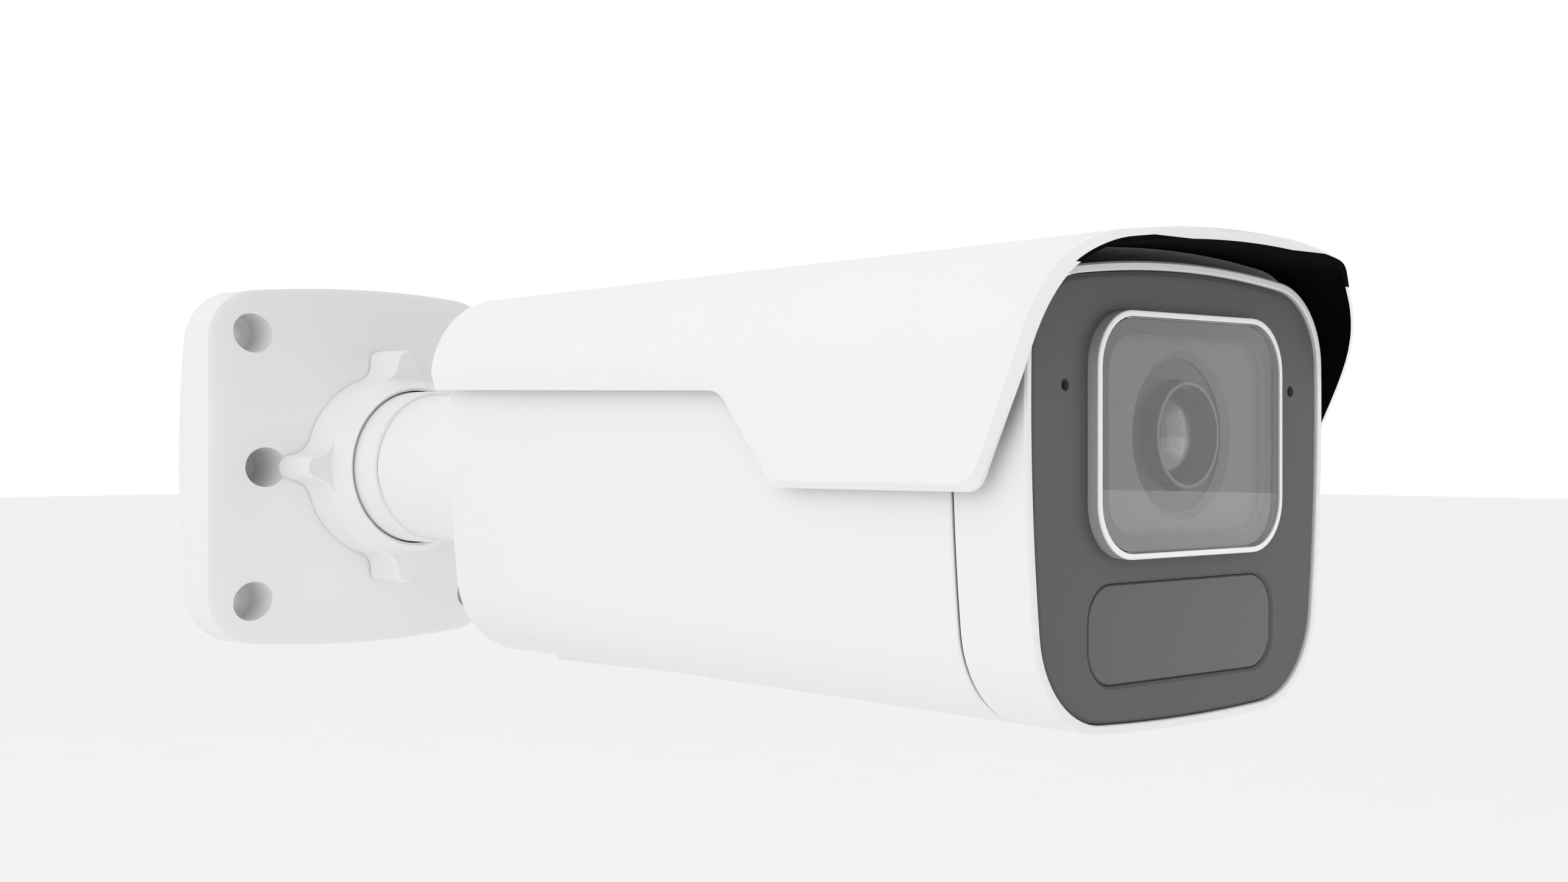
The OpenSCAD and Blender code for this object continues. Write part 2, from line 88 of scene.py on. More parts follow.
MIC_R = 3.5          # microphone capsule
BASE_HALF = base_high.x
REAR = -housing_high.y
SEAM = -housing_low.y
FRONT = -cover_low.y
VISOR = -hood_low.y
BEZEL = -bezel_low.y
LENS_Z = (bezel_low.z + bezel_high.z) / 2
LENS_TIP = -barrel_low.y
IR_BACK, IR_FACE = -ir_high.y, -ir_low.y
IR_Z = (ir_low.z + ir_high.z) / 2
MIC_X = mic_high.x - MIC_R
MIC_Z = (mic_low.z + mic_high.z) / 2
HATCH_OUT = -(hatch_low.y + hatch_high.y) / 2

# ---------- sizes of the body and hood ----------
TAPER = 0.915        # size of the rear section compared with the front one
RIM = 1.7            # rim line outside the panel's section
WALL, REAR_WALL = 2.4, 4
REAR_HOLE_R = 15.0   # hole for the arm in the rear wall
HALF_W, WIDEST_Z, SIDE_R = 46.4, 14.0, 367.0   # the section's bulged sides
TOP_Z, TOP_R = 38.7, 280.0
LOW_Z, LOW_R = -45.0, 520.0
UPPER_R, LOWER_R = 15.0, 19.0                  # its corners
HATCH_HALF, HATCH_CORNER = 20, 4
HATCH_GAP = 0.25     # gap round the hatch
HATCH_SCREW = 17.6   # hatch screws, from its middle
HOOD_IN, HOOD_OUT = 4.6, 6.9
HOOD_STRIP = 0.9     # flat strip inside the hood's bevel
HOOD_TRAVEL = 10     # how far the hood slides
HOOD_SCREWS = (150, 225)
SLOT_R, SLOT_SLACK = 1.6, 0.5    # slot for a hood screw's shank, and its spare length
HEAD_R, HEAD_DEPTH = 3.1, 1.45   # wider slot for its head
LIP_START, LIP_PULL = 272, 1.4   # from here on, the hood's outside is drawn back towards its lip

# ---------- sizes of the front ----------
BEZEL_FLANGE = 2.5
WINDOW_HALF_H, WINDOW_CORNER = 22.7, 10.4
WINDOW_GAP = 0.08    # gap between the bezel and the panel
OPENING_HALF_W = 30.08
IR_HALF_W, IR_HALF_H, IR_CORNER, IR_LEAST_CORNER = 29.6, 9.2, 6.9, 6
MIC_HOLE = 1.1
BARREL_R = 10.1
SURROUND = (25.35, 18.25, 6.9)   # lens surround: half width, half height, corner

# ---------- sizes of the arm and base ----------
COLLAR_END, PIVOT = 49.0, 69.0
ARM_R, ARM_BORE = 20.0, 9
FOOT_OUT, FOOT_R, FOOT_END = 14, 19, 33.3      # the collar's thinner end, inside the base
SPIGOT_R, SPIGOT = 14.95, 14                   # end of the upper arm inside the body
BASE_BULGE, BASE_CORNER = 400, 15              # radii of the base's sides and corners
BASE_RISE, BASE_SIDE, BASE_BEVEL = 0.30, 15.1, 1.4
BEVEL_DEPTH = BASE_BEVEL * 0.7
CONE_TOP = BASE_SIDE + BEVEL_DEPTH + BASE_RISE * BASE_HALF
BOSS_R, BOSS_END = 22.3, 33
SOCKET_R, SOCKET_FLOOR = 19.05, 12.5
PASSAGE_R = 12.0
COUNTERBORE_R, COUNTERBORE_FLOOR, SCREW_R = 5.25, 5.6, 2.4
HOLE_XZ, SIDE_HOLE_X = 35.5, 34.5
HOLES = [(x, z) for x in (-HOLE_XZ, HOLE_XZ) for z in (-HOLE_XZ, HOLE_XZ)]
HOLES += [(-SIDE_HOLE_X, 0), (SIDE_HOLE_X, 0)]
RING_R, RING_GAP = 24.4, 0.35
RING_HOLLOW, RING_BORE, RING_STEP = 22.6, 20.4, 34
LOBE_OUT, LOBE_R, LOBE_FOOT = 28.2, 3.2, 6
LOBE_TILT = math.asin(1.4 / 6.8)               # slope of a lobe's flank

STRAIGHT_STEPS = 12                  # pieces that a straight side is split into
SHARP = math.radians(30)             # edges over this angle are bevelled or stay sharp


# ---------- outlines: lists of (x, z) ----------
def arc(centre, radius, start, end, steps):
    """Points along an arc, without its last one. Angles in degrees."""
    angles = [math.radians(start + (end - start) * i / steps) for i in range(steps)]
    return [(centre[0] + radius * math.cos(a), centre[1] + radius * math.sin(a)) for a in angles]


def circle(radius, x=0.0, z=0.0, steps=128):
    return arc((x, z), radius, 0, 360, steps)


def rounded_box(half_w, half_h, radius, z=0.0, steps=10):
    """A rectangle with round corners, with points along its straights too."""
    points = []
    for quarter, (sx, sz) in enumerate([(1, 1), (-1, 1), (-1, -1), (1, -1)]):
        centre = (sx * (half_w - radius), z + sz * (half_h - radius))
        points += arc(centre, radius, 90 * quarter, 90 * quarter + 90, steps)
        points.append(arc(centre, radius, 90 * quarter + 90, 0, 1)[0])
    return with_straights(points, steps + 1)


def with_straights(points, run):
    """Adds points along the straight side that follows each run of corner points."""
    filled = []
    for i, (x, z) in enumerate(points):
        filled.append((x, z))
        if i % run == run - 1:
            ahead = points[(i + 1) % len(points)]
            filled += [(x + (ahead[0] - x) * k / STRAIGHT_STEPS, z + (ahead[1] - z) * k / STRAIGHT_STEPS)
                       for k in range(1, STRAIGHT_STEPS)]
    return filled


def bearing(start, end):
    return math.degrees(math.atan2(end[1] - start[1], end[0] - start[0]))


def fillet_centre(a, ra, b, rb, side):
    """Point at distance ra from a and rb from b, above or below their line as side says."""
    d = math.dist(a, b)
    along = (ra * ra - rb * rb + d * d) / (2 * d)
    off = math.sqrt(ra * ra - along * along) * side
    ux, uz = (b[0] - a[0]) / d, (b[1] - a[1]) / d
    return (a[0] + ux * along - uz * off, a[1] + uz * along + ux * off)


# The body's bulged sides, top and bottom at its front, as (centre, radius).
SIDE = ((HALF_W - SIDE_R, WIDEST_Z), SIDE_R)
TOP = ((0.0, TOP_Z - TOP_R), TOP_R)
LOW = ((0.0, LOW_R + LOW_Z), LOW_R)
UPPER = fillet_centre(SIDE[0], SIDE[1] - UPPER_R, TOP[0], TOP[1] - UPPER_R, 1)
LOWER = fillet_centre(SIDE[0], SIDE[1] - LOWER_R, LOW[0], LOW[1] - LOWER_R, -1)
TURNS = [90, bearing(TOP[0], UPPER), bearing(SIDE[0], UPPER), bearing(SIDE[0], LOWER),
         bearing(LOW[0], LOWER), -90]


def half_section(grow):
    """Right half of the body's section from its top: arcs as (centre, radius, start, end)."""
    return [(TOP[0], TOP[1] + grow, TURNS[0], TURNS[1]), (UPPER, UPPER_R + grow, TURNS[1], TURNS[2]),
            (SIDE[0], SIDE[1] + grow, TURNS[2], TURNS[3]), (LOWER, LOWER_R + grow, TURNS[3], TURNS[4]),
            (LOW[0], LOW[1] + grow, TURNS[4], TURNS[5])]


def section(grow):
    """The whole section of the body, grown outwards, clockwise from its top."""
    right = []
    for (centre, radius, start, end), steps in zip(half_section(grow), (14, 14, 20, 14, 14)):
        right += arc(centre, radius, start, end, steps)
    bottom = (0.0, LOW_Z - grow)
    return right + [bottom] + [(-x, z) for x, z in reversed(right[1:])]


def scale_at(out):
    """Size of the tapered body's section at a distance from the wall, 1 at its front."""
    return 1 - (1 - TAPER) * (FRONT - out) / (FRONT - REAR)


def body_ring(out, grow):
    k = scale_at(out)
    return [(x * k, -out, z * k) for x, z in section(grow)]


def ring_at(out, outline):
    return [(x, -out, z) for x, z in outline]


def morph(a, b, share):
    """An outline between a and the points of b in the same directions from b's middle."""
    return [((1 - share) * p[0] + share * q[0], (1 - share) * p[1] + share * q[1]) for p, q in zip(a, b)]


def same_bearings(outline, radius, z=0.0):
    """A circle with one point in the direction of each point of an outline."""
    points = []
    for x, y in outline:
        reach = math.hypot(x, y - z)
        points.append((x * radius / reach, z + (y - z) * radius / reach))
    return points


# ---------- meshes ----------
def finish_mesh(name, points, faces, materials, body, replaced, bevel=0.0):
    """A piece from points in millimetres. Given a body, it moves with it and replaces CAD nodes."""
    mesh = bpy.data.meshes.new(name)
    mesh.from_pydata([(x * MM, y * MM, z * MM) for x, y, z in points], [], faces)
    mesh.validate()
    piece = bpy.data.objects.new(name, mesh)
    bpy.context.scene.collection.objects.link(piece)
    for material in materials:
        mesh.materials.append(material)
    recalculate(mesh)
    mesh.polygons.foreach_set("use_smooth", [True] * len(mesh.polygons))
    if bevel:
        rounding = piece.modifiers.new("edges", "BEVEL")
        rounding.width = bevel * MM
        rounding.segments = 3
        rounding.limit_method = "ANGLE"
        rounding.angle_limit = SHARP
        rounding.harden_normals = True
    if body:
        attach(piece, body)
        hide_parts(*replaced)
    return piece


def recalculate(mesh):
    """Joins doubled points, turns normals outwards and keeps sharp edges sharp."""
    shape = bmesh.new()
    shape.from_mesh(mesh)
    bmesh.ops.remove_doubles(shape, verts=shape.verts, dist=1e-7)
    bmesh.ops.recalc_face_normals(shape, faces=shape.faces)
    shape.to_mesh(mesh)
    shape.free()
    mesh.set_sharp_from_angle(angle=SHARP)


def skin(rings, closed):
    """Quads between rings of equal length. A closed skin joins its two ends, an open one is capped."""
    n = len(rings[0])
    points = [p for ring in rings for p in ring]
    faces = []
    for i in range(len(rings) if closed else len(rings) - 1):
        a, b = i * n, (i + 1) % len(rings) * n
        faces += [(a + j, a + (j + 1) % n, b + (j + 1) % n, b + j) for j in range(n)]
    if not closed:
        faces.append(tuple(range(n)))
        faces.append(tuple(range((len(rings) - 1) * n, len(rings) * n)))
    return points, faces


def solid(name, rings, material, body, replaced, closed=False, bevel=0.0):
    """A piece of one material, skinned over rings."""
    points, faces = skin(rings, closed)
    return finish_mesh(name, points, faces, [material], body, replaced, bevel)


def cut(piece, *rings_of_cutters):
    """Takes prisms, each a list of rings, out of a piece before its edges are rounded."""
    for i, rings in enumerate(rings_of_cutters):
        points, faces = skin(rings, False)
        tool = finish_mesh(f"{piece.name}_cutter_{i}", points, faces, [], None, ())
        step = piece.modifiers.new("cut", "BOOLEAN")
        step.object = tool
        step.operation = "DIFFERENCE"
        step.solver = "EXACT"
        with bpy.context.temp_override(object=piece, active_object=piece, selected_objects=[piece]):
            piece.modifiers.move(len(piece.modifiers) - 1, 0)
            bpy.ops.object.modifier_apply(modifier=step.name)
        bpy.data.objects.remove(tool)
    piece.data.polygons.foreach_set("use_smooth", [True] * len(piece.data.polygons))
    piece.data.set_sharp_from_angle(angle=SHARP)


# ---------- materials ----------
def material(name, colour, roughness, grain=0.0, grain_size=0.3, metallic=0.0, vary=0.03, **sockets):
    """A moulded or painted surface: fine bump, and slight drift in colour and roughness."""
    made = bpy.data.materials.new(name)
    made.use_nodes = True
    nodes, links = made.node_tree.nodes, made.node_tree.links
    shader = nodes["Principled BSDF"]
    where = nodes.new("ShaderNodeTexCoord")
    drift = nodes.new("ShaderNodeTexNoise")
    drift.inputs["Scale"].default_value = 35.0
    drift.inputs["Detail"].default_value = 3.0
    tint = nodes.new("ShaderNodeValToRGB")
    tint.color_ramp.elements[0].color = [c * (1 - vary) for c in colour] + [1]
    tint.color_ramp.elements[1].color = [min(1.0, c * (1 + vary)) for c in colour] + [1]
    rough = nodes.new("ShaderNodeMapRange")
    rough.inputs["To Min"].default_value = max(0.0, roughness - 0.04)
    rough.inputs["To Max"].default_value = roughness + 0.04
    speck = nodes.new("ShaderNodeTexNoise")
    speck.inputs["Scale"].default_value = 1 / (grain_size * MM)
    speck.inputs["Detail"].default_value = 2.0
    bump = nodes.new("ShaderNodeBump")
    bump.inputs["Strength"].default_value = grain
    bump.inputs["Distance"].default_value = 0.05 * MM
    links.new(where.outputs["Object"], drift.inputs["Vector"])
    links.new(where.outputs["Object"], speck.inputs["Vector"])
    links.new(drift.outputs["Fac"], tint.inputs["Fac"])
    links.new(tint.outputs["Color"], shader.inputs["Base Color"])
    links.new(drift.outputs["Fac"], rough.inputs["Value"])
    links.new(rough.outputs["Result"], shader.inputs["Roughness"])
    links.new(speck.outputs["Fac"], bump.inputs["Height"])
    links.new(bump.outputs["Normal"], shader.inputs["Normal"])
    shader.inputs["Metallic"].default_value = metallic
    for socket, value in sockets.items():
        shader.inputs[socket.replace("_", " ")].default_value = value
    return made


def clear_glass(name, colour, roughness=0.0, ior=1.5):
    made = bpy.data.materials.new(name)
    made.use_nodes = True
    shader = made.node_tree.nodes["Principled BSDF"]
    shader.inputs["Base Color"].default_value = (*colour, 1)
    shader.inputs["Roughness"].default_value = roughness
    shader.inputs["IOR"].default_value = ior
    shader.inputs["Transmission Weight"].default_value = 1.0
    return made


paint = material("white powder coat", (0.86, 0.86, 0.86), 0.42, grain=0.25, grain_size=0.35, vary=0.008)
plastic = material("white plastic", (0.87, 0.87, 0.865), 0.38, grain=0.15, grain_size=0.4, vary=0.008)
visor_black = material("black visor lining", (0.002, 0.002, 0.002), 1.0, grain=0.3, grain_size=0.5,
                       Specular_IOR_Level=0.05)
panel_grey = material("grey panel", (0.105, 0.105, 0.11), 0.5, grain=0.3, grain_size=0.3, vary=0.05,
                      Specular_IOR_Level=0.25)
bezel_silver = material("silver grained bezel", (0.55, 0.55, 0.55), 0.45, grain=0.7, grain_size=0.35)
bezel_white = material("white bezel rim", (0.9, 0.9, 0.9), 0.3, grain=0.1, vary=0.008)
mask_grey = material("printed mask", (0.035, 0.035, 0.036), 0.5, grain=0.1)
plate_grey = material("lens plate", (0.19, 0.19, 0.19), 0.5, grain=0.2)
wall_grey = material("window wall", (0.34, 0.34, 0.34), 0.5, grain=0.2)
lens_black = material("lens black", (0.015, 0.015, 0.017), 0.45, grain=0.2, vary=0.1)
# Lighter grey for the barrel's front annulus: a painted highlight standing in for the reflection off its
# eased edge.
front_ring_painted_highlight = material("lens front ring painted highlight", (0.16, 0.16, 0.165), 0.35, grain=0.1)
iris_grey = material("ridged cone", (0.16, 0.16, 0.165), 0.4, grain=0.1)
smoked = material("smoked glass", (0.075, 0.085, 0.082), 0.15, grain=0.02, Specular_IOR_Level=0.3)
rubber = material("black rubber", (0.02, 0.02, 0.02), 0.75, grain=0.5, vary=0.1)
steel = material("steel", (0.56, 0.57, 0.58), 0.3, grain=0.15, metallic=1.0)
aluminium = material("aluminium", (0.72, 0.73, 0.74), 0.35, grain=0.3, metallic=1.0)
board = material("circuit board", (0.015, 0.12, 0.05), 0.4, grain=0.3, vary=0.2)
parts = material("black components", (0.03, 0.03, 0.033), 0.5, grain=0.3, vary=0.1)
acetal = material("acetal gears", (0.75, 0.73, 0.66), 0.4, grain=0.1)
led_yellow = material("infrared emitters", (0.8, 0.62, 0.2), 0.35, grain=0.1, vary=0.1)
filter_red = material("filter frame", (0.16, 0.03, 0.035), 0.4, grain=0.2)
window = clear_glass("window glass", (0.97, 0.98, 0.98))
lens_glass = clear_glass("coated lens glass", (0.80, 0.78, 0.86), ior=1.6)
optic = clear_glass("led optics", (0.93, 0.94, 0.95), roughness=0.15)


# ---------- wall base, ring and arm ----------
def quarter_turns(side):
    """A quarter of an outline, repeated four times round the middle."""
    points = []
    for quarter in range(4):
        turn = math.radians(90 * quarter)
        points += [(x * math.cos(turn) - z * math.sin(turn), x * math.sin(turn) + z * math.cos(turn))
                   for x, z in side]
    return points


def base_outline(grow):
    """Square with bulged sides and round corners, anticlockwise."""
    middle = BASE_BULGE - BASE_HALF
    reach = BASE_BULGE - BASE_CORNER
    corner = fillet_centre((-middle, 0), reach, (0, -middle), reach, 1)
    spread = bearing((-middle, 0), corner)
    side = arc((-middle, 0), BASE_BULGE + grow, -spread, spread, 24)
    side += arc(corner, BASE_CORNER + grow, spread, 90 - spread, 14)
    return quarter_turns(side)


def on_cone(outline, drop=0.0):
    """An outline laid on the shallow cone of the base's face."""
    return [(x, -(CONE_TOP - BASE_RISE * math.hypot(x, z) - drop), z) for x, z in outline]


def make_base():
    outer, face = base_outline(0), base_outline(-BASE_BEVEL)
    boss, socket = same_bearings(face, BOSS_R), same_bearings(face, SOCKET_R)
    passage = same_bearings(face, PASSAGE_R)
    rings = [ring_at(0, passage), ring_at(0, outer), on_cone(outer, BEVEL_DEPTH), on_cone(face)]
    rings += [on_cone(morph(face, boss, share)) for share in (0.25, 0.5, 0.75)]
    rings += [on_cone(boss), ring_at(BOSS_END, boss), ring_at(BOSS_END, socket),
              ring_at(SOCKET_FLOOR, socket), ring_at(SOCKET_FLOOR, passage)]
    piece = solid("base_casting", rings, paint, "base", ["base_plate"], closed=True,
                  bevel=0.35)
    bores = [[ring_at(out, circle(COUNTERBORE_R, x, z, 64)) for out in (COUNTERBORE_FLOOR, 30)]
             for x, z in HOLES]
    through = [[ring_at(out, circle(SCREW_R, x, z, 48)) for out in (-1, 8)] for x, z in HOLES]
    cut(piece, *bores, *through)


def lobes(grow):
    """Four-lobed outline of the lock ring, anticlockwise: lobe tips, hollow flanks and ring."""
    reach = LOBE_OUT * math.sin(LOBE_TILT) + LOBE_R + LOBE_FOOT
    slide = math.sqrt((RING_R + LOBE_FOOT) ** 2 - reach ** 2)
    hollow = (reach * math.sin(LOBE_TILT) + slide * math.cos(LOBE_TILT),
              reach * math.cos(LOBE_TILT) - slide * math.sin(LOBE_TILT))
    top = 90 - math.degrees(LOBE_TILT)
    foot = bearing((0, 0), hollow)
    half = arc((LOBE_OUT, 0.0), LOBE_R + grow, 0, top, 10)
    half += arc(hollow, LOBE_FOOT - grow, top - 180, foot - 180, 10)
    half += arc((0, 0), RING_R + grow, foot, 45, 6)
    below = [(x, -z) for x, z in reversed(half[1:])]
    return quarter_turns(below + half)


def make_ring():
    edge, face = lobes(0), lobes(-0.7)
    lip = -ring_low.y
    shoulder = lip - 5.4

    def round_at(out, radius):
        return ring_at(out, same_bearings(face, radius))

    rings = [on_cone(same_bearings(edge, RING_HOLLOW), -RING_GAP), on_cone(edge, -RING_GAP),
             ring_at(shoulder - 1.0, edge), ring_at(shoulder, face), round_at(shoulder, 23.8),
             round_at(lip, 21.2), round_at(lip, 21.1), round_at(lip - 0.6, RING_BORE),
             round_at(RING_STEP, RING_BORE), round_at(RING_STEP, RING_HOLLOW)]
    solid("ring_casting", rings, paint, "ring", ["lock_ring"], closed=True, bevel=0.25)


def slanted(radius, gap):
    """A circle of the arm on the elbow's slanting plane."""
    return [(x, -(PIVOT + x + gap), z) for x, z in circle(radius)]


def make_arm():
    neck, upper = ARM_R - 1.1, ARM_R - 0.3
    rings = [ring_at(FOOT_OUT, circle(FOOT_R)), ring_at(FOOT_END, circle(FOOT_R)),
             ring_at(FOOT_END, circle(ARM_R)), ring_at(COLLAR_END - 0.5, circle(ARM_R)),
             ring_at(COLLAR_END, circle(ARM_R - 0.5)), ring_at(COLLAR_END, circle(neck)),
             slanted(neck, -0.2), slanted(ARM_BORE, -0.2), ring_at(FOOT_OUT, circle(ARM_BORE))]
    solid("collar_casting", rings, paint, "pan_arm", ["arm_collar"], closed=True, bevel=0.12)
    rings = [slanted(ARM_BORE, 0.2), slanted(upper - 0.35, 0.2), slanted(upper, 0.55),
             ring_at(REAR - 0.6, circle(upper)), ring_at(REAR - 0.6, circle(SPIGOT_R)),
             ring_at(REAR + SPIGOT, circle(SPIGOT_R)), ring_at(REAR + SPIGOT, circle(ARM_BORE))]
    solid("arm_casting", rings, paint, "elbow", ["elbow_arm"], closed=True, bevel=0.12)


# ---------- body ----------
def hatch_ring(z, grow):
    """The hatch's outline at a height."""
    half = HATCH_HALF + grow
    return [(x, y - HATCH_OUT, z) for x, y in rounded_box(half, half, HATCH_CORNER + grow)]


def make_housing():
    outer = [body_ring(REAR, RIM - 1.6), body_ring(REAR + 0.45, RIM - 0.5), body_ring(REAR + 1.6, RIM),
             body_ring(SEAM - 0.35, RIM), body_ring(SEAM, RIM - 0.3)]
    inner = [body_ring(SEAM, RIM - WALL), body_ring(REAR + REAR_WALL, RIM - WALL)]
    hole = same_bearings(section(0), REAR_HOLE_R)
    rings = [ring_at(REAR, hole)] + outer + inner + [ring_at(REAR + REAR_WALL, hole)]
    piece = solid("housing_casting", rings, paint, "camera", ["housing"], closed=True,
                  bevel=0.1)
    cut(piece, [hatch_ring(z, HATCH_GAP) for z in (-50, -38)])


def make_hatch():
    low, high = hatch_low.z, hatch_high.z
    rings = [hatch_ring(low, -0.8), hatch_ring(low + 0.25, -0.2), hatch_ring(low + 0.8, 0),
             hatch_ring(low + 2.8, 0), hatch_ring(low + 2.8, -3.6), hatch_ring(high, -3.6)]
    piece = solid("hatch_lid", rings, paint, "camera", ["hatch_cover"], bevel=0.1)
    holes = []
    for x in (-HATCH_SCREW, HATCH_SCREW):
        for y in (-HATCH_SCREW, HATCH_SCREW):
            hole = circle(1.7, x, y, 32)
            holes.append([[(px, py - HATCH_OUT, z) for px, py in hole] for z in (low - 1, low + 1.4)])
    cut(piece, *holes)


def lamp_ring(out, grow):
    """The infrared window's outline, at a distance from the wall."""
    corner = max(IR_CORNER + grow, IR_LEAST_CORNER)
    return ring_at(out, rounded_box(IR_HALF_W + grow, IR_HALF_H + grow, corner, IR_Z))


def make_front():
    rings = [body_ring(SEAM + 0.55, RIM - 0.35), body_ring(SEAM + 0.9, RIM), body_ring(FRONT - 0.45, RIM),
             body_ring(FRONT, RIM - 0.4), body_ring(FRONT, 0.25), body_ring(FRONT - 0.2, 0.02),
             body_ring(FRONT - 3, 0.02), body_ring(FRONT - 3, -0.4), body_ring(SEAM + 0.55, -0.4)]
    solid("front_ring", rings, paint, "camera", ["front_cover"], closed=True, bevel=0.08)
    crown = [(2.95, -0.08), (1.35, -0.08), (0.95, -0.2), (0.62, -0.5), (0.42, -0.95), (0.4, -1.3)]
    panel = [body_ring(FRONT - depth, grow) for depth, grow in crown]
    piece = solid("grey_panel", panel, panel_grey, "camera", ["front_panel"], bevel=0.0)
    through = (FRONT - 6, FRONT + 4)
    outline = rounded_box(OPENING_HALF_W, WINDOW_HALF_H + WINDOW_GAP, WINDOW_CORNER, LENS_Z)
    opening = [ring_at(out, outline) for out in through]
    recess = [(6, -1.0), (2.0, -1.0), (2.0, 0.1), (0.95, 0.1), (0.3, 0.8)]
    lamp = [lamp_ring(FRONT - depth, grow) for depth, grow in recess]
    mics = [[ring_at(out, circle(MIC_HOLE, x, MIC_Z, 32)) for out in through] for x in (-MIC_X, MIC_X)]
    cut(piece, opening, lamp, *mics)
    glass = [lamp_ring(IR_BACK, 0), lamp_ring(IR_FACE - 0.25, 0), lamp_ring(IR_FACE, -0.3)]
    solid("lamp_glass", glass, smoked, "camera", ["illuminator_glass"], bevel=0.0)


# ---------- lens window ----------
def window_ring(out, inset):
    """The bezel's outline, drawn in by inset, at a distance from the wall."""
    half_w = bezel_high.x - BEZEL_FLANGE - inset
    return ring_at(out, rounded_box(half_w, WINDOW_HALF_H - inset, WINDOW_CORNER - inset * 0.75, LENS_Z))


def make_window():
    back = FRONT - 5.5
    rings = [window_ring(back, -BEZEL_FLANGE), window_ring(back + 2.4, -BEZEL_FLANGE),
             window_ring(back + 2.4, 0),
             window_ring(BEZEL - 0.35, 0), window_ring(BEZEL - 0.1, 0.1), window_ring(BEZEL, 0.35),
             window_ring(BEZEL, 1.0), window_ring(BEZEL - 0.1, 1.1), window_ring(BEZEL - 2.2, 1.1),
             window_ring(BEZEL - 2.2, 4.45), window_ring(back, 4.45)]
    points, faces = skin(rings, True)
    coats = [bezel_silver, bezel_white, wall_grey]
    piece = finish_mesh("bezel", points, faces, coats, "camera", ["window_bezel"])
    for face in piece.data.polygons:
        out = -face.center.y / MM
        if face.normal.y < -0.3 and out > BEZEL - 0.5:
            face.material_index = 1
        elif out < BEZEL - 2 and out < FRONT and abs(face.normal.y) < 0.3:
            face.material_index = 2
    mask = [window_ring(BEZEL - 2.15, 1.2), window_ring(BEZEL - 2.02, 1.2), window_ring(BEZEL - 2.02, 4.4),
            window_ring(BEZEL - 2.15, 4.4)]
    solid("mask", mask, mask_grey, "camera", ["window_mask"], closed=True, bevel=0.0)
    glass = [window_ring(BEZEL - 1.95, 1.2), window_ring(BEZEL - 0.6, 1.2), window_ring(BEZEL - 0.4, 1.4)]
    solid("cover_glass", glass, window, "camera", ["window_glass"], bevel=0.0)


def make_lens():
    plate = rounded_box(*SURROUND, LENS_Z)
    face = FRONT - 1.7
    holes = [ring_at(out, same_bearings(plate, radius, LENS_Z)) for out, radius in
             ((face, 16.0), (face - 1.3, 14.5), (face - 1.5, 14.5))]
    rings = [ring_at(face - 1.5, plate), ring_at(face, plate)] + holes
    solid("lens_surround", rings, plate_grey, "camera", ["lens_plate"], closed=True, bevel=0.12)
    seat = [(10.6, -8), (10.6, -3.3), (17.5, -3.3), (17.5, -8)]
    turned("lens_seat", seat, lens_black, ["lens_holder"], FRONT)
    steps = [(BARREL_R, -24), (BARREL_R, -0.15), (9.95, 0), (9.5, 0), (9.4, -0.1), (9.4, -1.6), (8.9, -1.7),
             (8.9, -6.6)]
    ridges = []
    for i in range(7):
        radius, depth = 8.6 - i * 0.33, i * 0.55
        ridges += [(radius, -6.7 - depth), (radius - 0.2, -6.8 - depth), (radius - 0.24, -7.15 - depth)]
    throat = [(6.3, -10.8), (4.85, -11.2), (4.85, -24)]
    barrel = turned("barrel", steps + ridges + throat, lens_black, ["front_barrel"], LENS_TIP,
                    [front_ring_painted_highlight, iris_grey])
    # The front annulus gets the lighter painted-highlight grey, standing in for the reflection off its
    # eased edge; the ridged cone gets its own grey.
    for piece_face in barrel.data.polygons:
        reach = math.hypot(piece_face.center.x / MM, piece_face.center.z / MM - LENS_Z)
        depth = LENS_TIP + piece_face.center.y / MM
        if depth < 0.2 and reach > 9.3:
            piece_face.material_index = 1
        elif 6.5 < depth < 11.5 and reach < 8.9:
            piece_face.material_index = 2
    bulge = 16
    dome = [(r, -1.3 - (bulge - math.sqrt(bulge ** 2 - r * r))) for r in (0.001, 1.5, 3, 4.5, 6, 7.5, 8.85)]
    back = [(r, y - 1.4) for r, y in reversed(dome)]
    turned("front_lens", dome + back, lens_glass, ["front_element"], LENS_TIP)


def turned(name, profile, main, replaced, start, extra=()):
    """A turned piece about the lens axis: a closed profile of (radius, distance in front of start)."""
    rings = [ring_at(start + d, circle(r, 0, LENS_Z, 96)) for r, d in profile]
    points, faces = skin(rings, True)
    return finish_mesh(name, points, faces, [main, *extra], "camera",
                       replaced)


# ---------- hood ----------
# Side view corners of the hood's edges as (distance from the wall, height, rounding).
FLAP, SKIRT = -2.06, 17.2
EDGE_IN = [(100, SKIRT + 1.6, 0), (210.5, SKIRT - 0.35, 3.2), (225.7, FLAP, 2.2), (277.8, FLAP, 3),
           (289.7, 22.6, 8), (294.0, 38.4, 3), (297.4, 42.0, 1.8), (VISOR, 43.1, 0)]
EDGE_OUT = [(100, SKIRT + 5.9, 0), (214.7, SKIRT + 4.1, 4.4), (228.5, FLAP + 1.4, 1.5),
            (277.3, FLAP + 1.4, 4.5), (288.3, 23.0, 8), (292.6, 40.0, 3), (295.8, 43.9, 1.8),
            (VISOR - LIP_PULL, 45.2, 0)]


def rounded_path(corners, steps=8):
    """Points along a polyline whose corners are rounded with parabolas."""
    path = [Vector(corners[0][:2])]
    for before, corner, after in zip(corners, corners[1:], corners[2:]):
        middle = Vector(corner[:2])
        back = (Vector(before[:2]) - middle).normalized() * corner[2]
        ahead = (Vector(after[:2]) - middle).normalized() * corner[2]
        for i in range(steps + 1):
            t = i / steps
            path.append(middle + back * (1 - t) ** 2 + ahead * t ** 2)
    path.append(Vector(corners[-1][:2]))
    return path


